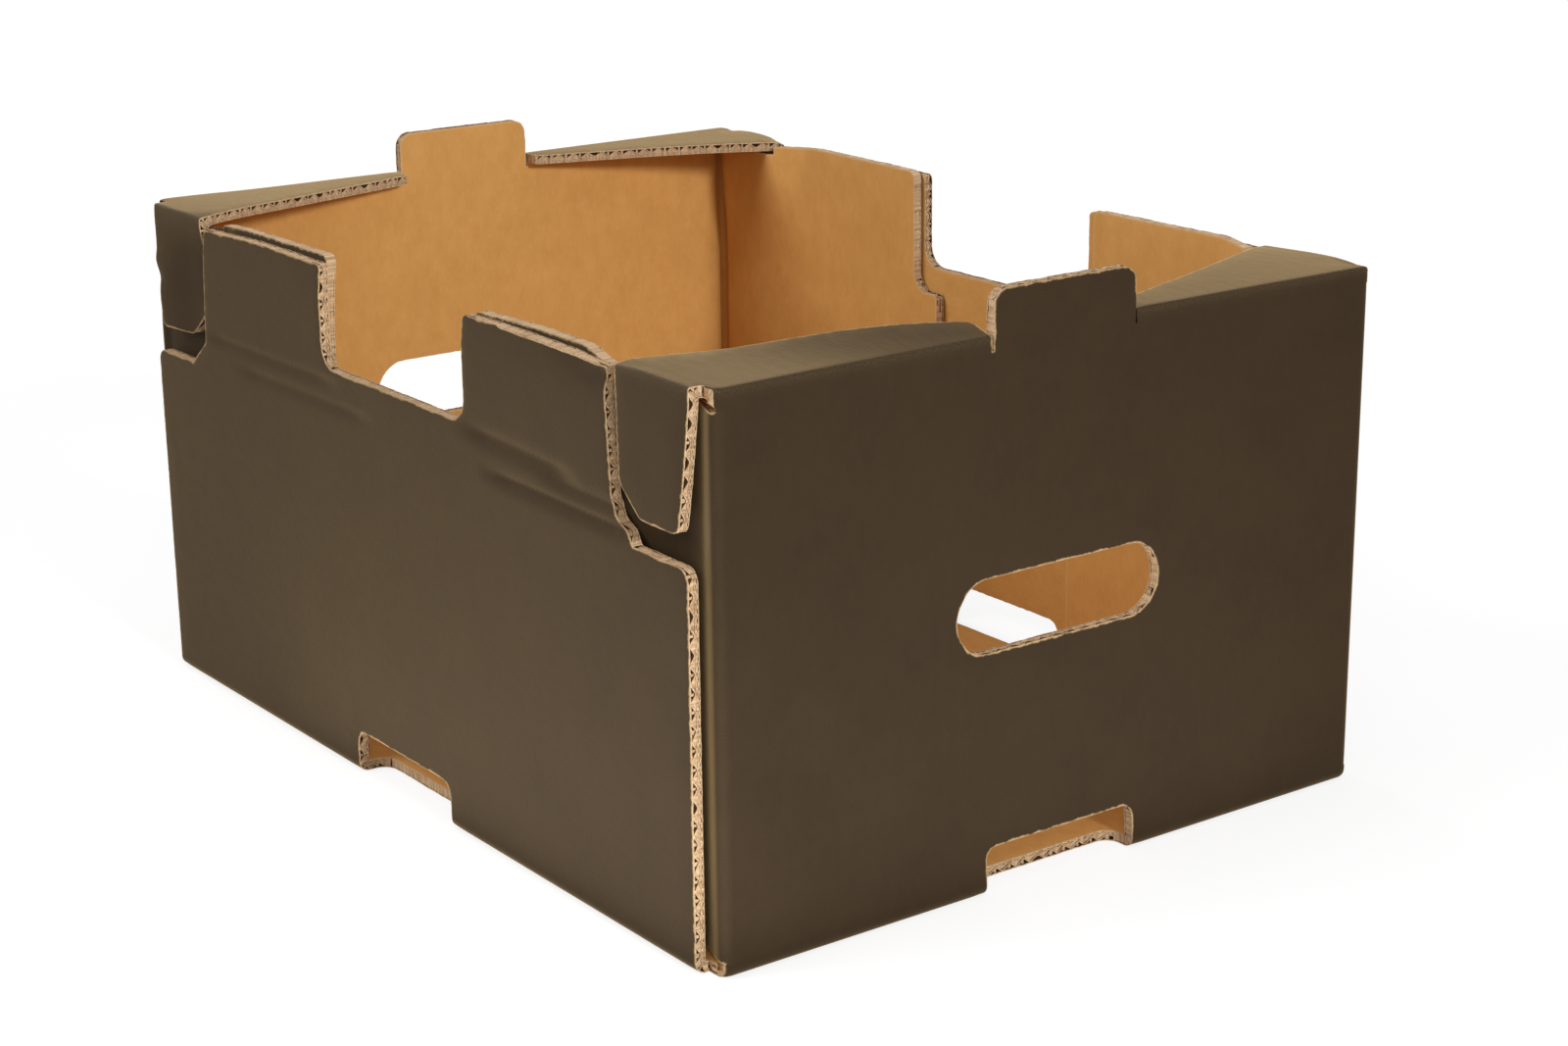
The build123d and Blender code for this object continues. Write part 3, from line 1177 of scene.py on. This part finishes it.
def add_flutes(strips, sv):
    """The fluted papers and the middle liner that the cut edges of one half show."""
    second = liner + coarse_wave + middle_liner
    inner = board - liner
    coarse_middle = liner + coarse_wave / 2
    fine_middle = (second + inner) / 2
    coarse_swing = (coarse_wave - coarse_paper) / 2
    fine_swing = (inner - second - fine_paper) / 2
    for line, middle, across_flutes in edge_runs():
        for su in (1, -1):
            if not across_flutes:
                way = np.array([math.copysign(1.0, middle[0]), 0.0]) * (su, sv)
                for spots in open_parts(resampled(line, along_step) * (su, sv)):
                    strips.band(spots, way, liner, second - middle_liner, along_coarse)
                    strips.band(spots, way, second - middle_liner, second, along_middle)
                    strips.band(spots, way, second, inner, along_fine)
                continue
            way = np.array([0.0, math.copysign(1.0, middle[1])]) * (su, sv)
            for spots in open_parts(resampled(line, across_step) * (su, sv)):
                if crushed_shut(line):
                    strips.band(spots, way, liner, inner, crushed_top)
                    continue
                strips.band(spots, way, second, inner, fine_fill)
                strips.band(spots, way, second - middle_liner, second, middle_paper)
            for spots in open_parts(resampled(line, flute_step) * (su, sv)):
                if crushed_shut(line):
                    continue
                # Faces inside the flutes take the painted shade of the hollows
                under, over = coarse_middle + wave(spots, coarse_pitch, coarse_swing, coarse_paper)
                strips.band(spots, way, under, over, coarse_flute, side_look=SHADED_HOLLOW)
                strips.band(spots, way, over, second, coarse_fill)
                # Half closed flutes along a shelf's free edge are painted with the hollows' shade
                if on_shelf(line):
                    strips.band(spots, way, liner, under, half_closed, SHADED_HOLLOW, SHADED_HOLLOW)
                for group in plugs(spots, coarse_pitch):
                    strips.band(spots[group], way, liner, under[group], torn_plug, side_look=SHADED_HOLLOW)
                under, over = fine_middle + wave(spots, fine_pitch, fine_swing, fine_paper)
                strips.band(spots, way, under, over, fine_flute)


# Materials

def new_material(name):
    material = bpy.data.materials.new(name)
    material.use_nodes = True
    tree = material.node_tree
    return material, tree, tree.nodes["Principled BSDF"]


def feed(tree, socket, value):
    """Link a socket to another one, or set its value."""
    if isinstance(value, bpy.types.NodeSocket):
        tree.links.new(value, socket)
    else:
        socket.default_value = value


def node(tree, kind, inputs=None, **settings):
    made = tree.nodes.new(kind)
    for key, value in settings.items():
        setattr(made, key, value)
    for key, value in (inputs or {}).items():
        feed(tree, made.inputs[key], value)
    return made


def sheet_coordinates(tree):
    """Places in the flat blank, in metres."""
    return node(tree, "ShaderNodeUVMap", uv_map="blank").outputs["UV"]


def stretched(tree, coordinates, scale):
    """The same places, drawn out along the sheet."""
    made = node(tree, "ShaderNodeMapping", {"Vector": coordinates, "Scale": scale})
    return made.outputs["Vector"]


def noise_of(tree, coordinates, scale, detail=3.0, roughness=0.55):
    made = node(
        tree,
        "ShaderNodeTexNoise",
        {"Vector": coordinates, "Scale": scale, "Detail": detail, "Roughness": roughness},
    )
    return made.outputs["Fac"]


def between(tree, value, low_in, high_in, low_out=0.0, high_out=1.0):
    """A value taken from one range to another."""
    made = node(
        tree,
        "ShaderNodeMapRange",
        {
            "Value": value,
            "From Min": low_in,
            "From Max": high_in,
            "To Min": low_out,
            "To Max": high_out,
        },
    )
    return made.outputs["Result"]


def mixed(tree, factor, first, second, blend="MIX"):
    made = node(tree, "ShaderNodeMix", data_type="RGBA", blend_type=blend)
    for key, value in (("Factor_Float", factor), ("A_Color", first), ("B_Color", second)):
        feed(tree, next(s for s in made.inputs if s.identifier == key), value)
    return next(s for s in made.outputs if s.identifier == "Result_Color")


def calc(tree, operation, first, second=0.0):
    made = node(tree, "ShaderNodeMath", operation=operation)
    feed(tree, made.inputs[0], first)
    feed(tree, made.inputs[1], second)
    return made.outputs[0]


def blended(tree, *terms):
    """The sum of several values, each given with its share."""
    parts = [calc(tree, "MULTIPLY", value, share) for value, share in terms]
    total = parts[0]
    for part in parts[1:]:
        total = calc(tree, "ADD", total, part)
    return total


def measure(tree, name):
    """A measure that the mesh carries at each point."""
    return node(tree, "ShaderNodeAttribute", attribute_name=name).outputs["Fac"]


def dress(tree, shader, colour, roughness, specular, relief=None, strength=0.35):
    """Set what every paper has: colour, roughness, shine and a fine relief."""
    tree.links.new(colour, shader.inputs["Base Color"])
    tree.links.new(roughness, shader.inputs["Roughness"])
    shader.inputs["Specular IOR Level"].default_value = specular
    if relief:
        settings = {"Height": relief, "Strength": strength, "Distance": relief_height}
        raised = node(tree, "ShaderNodeBump", settings)
        tree.links.new(raised.outputs["Normal"], shader.inputs["Normal"])


def rgb(red, green, blue):
    """A colour from its usual 0 to 255 values."""
    def linear(value):
        value /= 255
        return value / 12.92 if value <= 0.04045 else ((value + 0.055) / 1.055) ** 2.4
    return (linear(red), linear(green), linear(blue), 1.0)


def flute_lines(tree, sheet, pitch):
    """Faint lines along the flutes, where a liner sinks between them."""
    split = node(tree, "ShaderNodeSeparateXYZ", {"Vector": sheet})
    phase = calc(tree, "MULTIPLY", split.outputs["X"], 2 * math.pi * TO_MM / pitch)
    return calc(tree, "COSINE", phase)


relief_height = 0.0004  # in metres
print_dark = rgb(50, 38, 25)
print_light = rgb(56, 43, 28)
print_mottle = rgb(62, 50, 36)
print_grain = rgb(41, 32, 21)
print_torn = rgb(190, 158, 116)
print_rubbed_and_highlight = rgb(112, 95, 70)
print_sheen = rgb(236, 200, 142)
kraft_dark = rgb(205, 153, 85)
kraft_light = rgb(213, 161, 92)
kraft_clouds = rgb(196, 143, 76)
kraft_fibres = rgb(220, 170, 102)
kraft_torn = rgb(214, 178, 132)
cut_dark = rgb(166, 130, 94)
cut_light = rgb(222, 192, 154)
cut_fluff = rgb(230, 205, 170)
# Inside the flutes: darker unprinted paper, with painted shade
shaded_hollow_dark = rgb(84, 58, 36)
shaded_hollow_light = rgb(128, 93, 62)


def printed_material():
    """The outer liner: brown print, pale where it is torn, and pale along the folds from rubbed
    print and a painted highlight.
    """
    material, tree, shader = new_material("brown_print")
    sheet = sheet_coordinates(tree)
    patches = noise_of(tree, sheet, scale=26.0, detail=4.0, roughness=0.6)
    flecks = stretched(tree, sheet, (1.0, 0.45, 1.0))
    mottle = noise_of(tree, flecks, scale=260.0, detail=4.0, roughness=0.65)
    grain = noise_of(tree, sheet, scale=1400.0, detail=2.0, roughness=0.6)
    colour = mixed(tree, between(tree, patches, 0.3, 0.7), print_dark, print_light)
    colour = mixed(tree, between(tree, mottle, 0.35, 0.7, 0, 0.4), colour, print_mottle)
    colour = mixed(tree, between(tree, grain, 0.42, 0.62, 0, 0.25), colour, print_grain)
    gap = measure(tree, "cut_gap")
    ragged = calc(tree, "ADD", gap, between(tree, mottle, 0.3, 0.7, -0.5, 0.5))
    colour = mixed(tree, between(tree, ragged, 0.75, 0.1, 0, 0.8), colour, print_torn)
    # The folds' crests are paled: rubbed print and a painted highlight
    crest = measure(tree, "fold_crest")
    rubbed_and_highlight = calc(tree, "MULTIPLY", crest, between(tree, grain, 0.38, 0.62, 0.1, 0.75))
    colour = mixed(tree, rubbed_and_highlight, colour, print_rubbed_and_highlight)
    roughness = between(tree, mottle, 0.3, 0.7, 0.58, 0.7)
    lines = flute_lines(tree, sheet, coarse_pitch)
    relief = blended(tree, (mottle, 0.5), (grain, 0.5), (lines, 0.03), (patches, 0.8))
    dress(tree, shader, colour, roughness, specular=0.07, relief=relief)
    shader.inputs["Sheen Weight"].default_value = 0.95
    shader.inputs["Sheen Roughness"].default_value = 0.3
    shader.inputs["Sheen Tint"].default_value = print_sheen
    return material


def kraft_material():
    """The bare inner liner."""
    material, tree, shader = new_material("bare_kraft")
    sheet = sheet_coordinates(tree)
    patches = noise_of(tree, sheet, scale=34.0, detail=4.0, roughness=0.6)
    drifts = stretched(tree, sheet, (1.0, 0.6, 1.0))
    clouds = noise_of(tree, drifts, scale=150.0, detail=5.0, roughness=0.6)
    streaks = stretched(tree, sheet, (1.0, 0.16, 1.0))
    fibres = noise_of(tree, streaks, scale=1500.0, detail=3.0, roughness=0.6)
    colour = mixed(tree, between(tree, patches, 0.3, 0.7), kraft_dark, kraft_light)
    colour = mixed(tree, between(tree, clouds, 0.35, 0.68, 0, 0.5), colour, kraft_clouds)
    colour = mixed(tree, between(tree, fibres, 0.5, 0.7, 0, 0.35), colour, kraft_fibres)
    worn = between(tree, measure(tree, "cut_gap"), 1.0, 0.1, 0, 0.6)
    colour = mixed(tree, worn, colour, kraft_torn)
    roughness = between(tree, clouds, 0.3, 0.7, 0.72, 0.86)
    lines = flute_lines(tree, sheet, fine_pitch)
    relief = blended(tree, (clouds, 0.6), (fibres, 0.4), (lines, 0.06))
    dress(tree, shader, colour, roughness, specular=0.22, relief=relief)
    return material


def cut_material():
    """Cut and torn paper."""
    material, tree, shader = new_material("cut_paper")
    sheet = sheet_coordinates(tree)
    torn = noise_of(tree, sheet, scale=900.0, detail=4.0, roughness=0.65)
    fluff = noise_of(tree, sheet, scale=2600.0, detail=2.0, roughness=0.6)
    colour = mixed(tree, between(tree, torn, 0.36, 0.64), cut_dark, cut_light)
    colour = mixed(tree, between(tree, fluff, 0.5, 0.7, 0, 0.5), colour, cut_fluff)
    roughness = between(tree, torn, 0.3, 0.7, 0.8, 0.95)
    relief = blended(tree, (torn, 1.5), (fluff, 1.0))
    dress(tree, shader, colour, roughness, specular=0.15, relief=relief, strength=0.8)
    return material


def shaded_hollow_material():
    """The paper inside the flutes: darker unprinted paper, with painted shade."""
    material, tree, shader = new_material("flute_hollow_shaded")
    fibres = noise_of(tree, sheet_coordinates(tree), scale=1100.0, detail=3.0, roughness=0.6)
    colour = mixed(tree, between(tree, fibres, 0.35, 0.65), shaded_hollow_dark, shaded_hollow_light)
    roughness = between(tree, fibres, 0.3, 0.7, 0.85, 0.95)
    dress(tree, shader, colour, roughness, specular=0.1)
    return material


print_look = printed_material()
kraft_look = kraft_material()
cut_look = cut_material()
shaded_hollow_look = shaded_hollow_material()

blank, faces, gaps = whole_blank(*quarter_mesh())
# The liners' backs, seen inside the flutes, take the painted shade of the hollows
outer_looks = (print_look, cut_look, shaded_hollow_look)
inner_looks = (kraft_look, cut_look, shaded_hollow_look)
liner_piece("outer_liner", blank, faces, gaps, 0.0, liner, True, outer_looks, 1.0)
liner_piece("inner_liner", blank, faces, gaps, board, board - liner, False, inner_looks, 5.0)
for name, half in (("flutes_front", -1), ("flutes_back", 1)):
    strips = Strips()
    add_flutes(strips, half)
    mesh_object(
        name,
        np.concatenate(strips.points),
        strips.faces,
        (cut_look, shaded_hollow_look),
        strips.looks,
        np.concatenate(strips.uvs),
        smooth_angle=50.0,
    )


# Floor, light and camera

def background_or(tree, near_white, other):
    """A shader that is near_white to the camera and in reflections, and other elsewhere."""
    path = node(tree, "ShaderNodeLightPath")
    seen = calc(tree, "MAXIMUM", path.outputs["Is Camera Ray"], path.outputs["Is Glossy Ray"])
    seen = calc(tree, "MAXIMUM", seen, path.outputs["Is Transmission Ray"])
    mix = node(tree, "ShaderNodeMixShader")
    tree.links.new(seen, mix.inputs[0])
    tree.links.new(other, mix.inputs[1])
    tree.links.new(near_white, mix.inputs[2])
    return mix.outputs[0]


ground_size = 12.0
ground_grey = (0.3, 0.3, 0.3, 1)
ground_glow = 0.78
pool_middle = (-0.22, -0.3, 0)  # the bright patch of the floor that lights the walls
pool_reach = (0.25, 0.75)
pool_bright = 0.7
world_fill = 0.22
glow_level = 0.004
white = (1, 1, 1, 1)


def floor():
    """White ground that keeps a soft shadow, and lights the walls from near the box."""
    mesh = bpy.data.meshes.new("ground")
    signs = ((-1, -1), (1, -1), (1, 1), (-1, 1))
    corners = [(sx * ground_size, sy * ground_size, 0) for sx, sy in signs]
    mesh.from_pydata(corners, [], [(0, 1, 2, 3)])
    ground = bpy.data.objects.new("ground", mesh)
    bpy.context.collection.objects.link(ground)
    material, tree, shader = new_material("ground_white")
    tree.nodes.remove(shader)
    output = tree.nodes["Material Output"]
    shaded = node(tree, "ShaderNodeBsdfDiffuse", {"Color": ground_grey})
    shine = node(tree, "ShaderNodeEmission", {"Color": white, "Strength": ground_glow})
    bright = node(tree, "ShaderNodeAddShader", {0: shaded.outputs[0], 1: shine.outputs[0]})
    spot = node(tree, "ShaderNodeNewGeometry").outputs["Position"]
    away = node(tree, "ShaderNodeVectorMath", {0: spot, 1: pool_middle}, operation="DISTANCE")
    pool = between(tree, away.outputs["Value"], *pool_reach, pool_bright, 0.0)
    dull = node(tree, "ShaderNodeBsdfDiffuse")
    tree.links.new(pool, dull.inputs["Color"])
    surface = background_or(tree, bright.outputs[0], dull.outputs[0])
    tree.links.new(surface, output.inputs["Surface"])
    mesh.materials.append(material)
    ground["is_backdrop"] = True


def world():
    """White where it is seen, and a weak light elsewhere."""
    made = bpy.data.worlds.new("studio")
    made.use_nodes = True
    bpy.context.scene.world = made
    tree = made.node_tree
    tree.nodes.clear()
    seen = node(tree, "ShaderNodeBackground", {"Color": white, "Strength": 1.0})
    fill = node(tree, "ShaderNodeBackground", {"Color": white, "Strength": world_fill})
    output = node(tree, "ShaderNodeOutputWorld")
    surface = background_or(tree, seen.outputs[0], fill.outputs[0])
    tree.links.new(surface, output.inputs["Surface"])


def lamp(name, kind, strength):
    """A light and the object that holds it."""
    light = bpy.data.lights.new(name, kind)
    light.energy = strength
    made = bpy.data.objects.new(name, light)
    bpy.context.collection.objects.link(made)
    return made, light


def sun(name, strength, angle, azimuth, elevation):
    """A wide soft light. Azimuth 0 shines along +Y, and positive comes from +X."""
    made, light = lamp(name, "SUN", strength)
    light.angle = math.radians(angle)
    az = math.radians(azimuth)
    el = math.radians(elevation)
    source = Vector((math.sin(az) * math.cos(el), -math.cos(az) * math.cos(el), math.sin(el)))
    made.rotation_euler = source.to_track_quat("Z", "Y").to_euler()


def panel(name, power, position, target, size):
    """A square soft box that looks at a place."""
    made, light = lamp(name, "AREA", power)
    light.size = size
    made.location = position
    toward = Vector(position) - Vector(target)
    made.rotation_euler = toward.to_track_quat("Z", "Y").to_euler()
    made.visible_camera = False
    made.visible_glossy = False


def glow(name, power, place_on_floor, size):
    """Soft light that comes up from a bright patch of the floor."""
    made, light = lamp(name, "AREA", power)
    light.shape = "RECTANGLE"
    light.size, light.size_y = size
    made.location = (*place_on_floor, glow_level)
    made.rotation_euler = (math.pi, 0, 0)
    made.visible_camera = False
    made.visible_glossy = False


def camera():
    """The place and lens from which the photo was taken."""
    lens = 67.84
    yaw, pitch, roll = 0.6326, 0.2947, -0.0108
    position = Vector((-0.6396, -0.9109, 0.41735))
    ahead = Vector((
        math.sin(yaw) * math.cos(pitch),
        math.cos(yaw) * math.cos(pitch),
        -math.sin(pitch),
    ))
    right = Vector((math.cos(yaw), -math.sin(yaw), 0))
    up = right.cross(ahead)
    level_right = right * math.cos(roll) + up * math.sin(roll)
    level_up = up * math.cos(roll) - right * math.sin(roll)
    data = bpy.data.cameras.new("photo_camera")
    data.sensor_width = 36.0
    data.lens = lens
    data.clip_start = 0.01
    data.clip_end = 100.0
    made = bpy.data.objects.new("photo_camera", data)
    bpy.context.collection.objects.link(made)
    turn = Matrix((level_right, level_up, -ahead)).transposed()
    made.matrix_world = Matrix.Translation(position) @ turn.to_4x4()
    bpy.context.scene.camera = made


floor()
world()
sun("front_light", strength=1.6, angle=8.0, azimuth=0.0, elevation=19.5)
panel("left_light", power=1.7, position=(-0.45, -0.75, 0.30), target=(-0.1, -0.2, 0.1), size=0.5)
sun("side_light", strength=1.35, angle=30.0, azimuth=-108.0, elevation=32.0)
sun("back_light", strength=0.9, angle=30.0, azimuth=180.0, elevation=18.0)
sun("top_light", strength=0.5, angle=60.0, azimuth=0.0, elevation=86.0)
glow("front_glow", power=0.42, place_on_floor=(-0.09, -0.31), size=(0.42, 0.18))
glow("left_glow", power=0.36, place_on_floor=(-0.225, -0.11), size=(0.13, 0.38))
camera()
bpy.context.scene.view_settings.view_transform = "Standard"

boxes = [cad_box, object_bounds()]
[[list(map(float, corner)) for corner in box] for box in boxes]
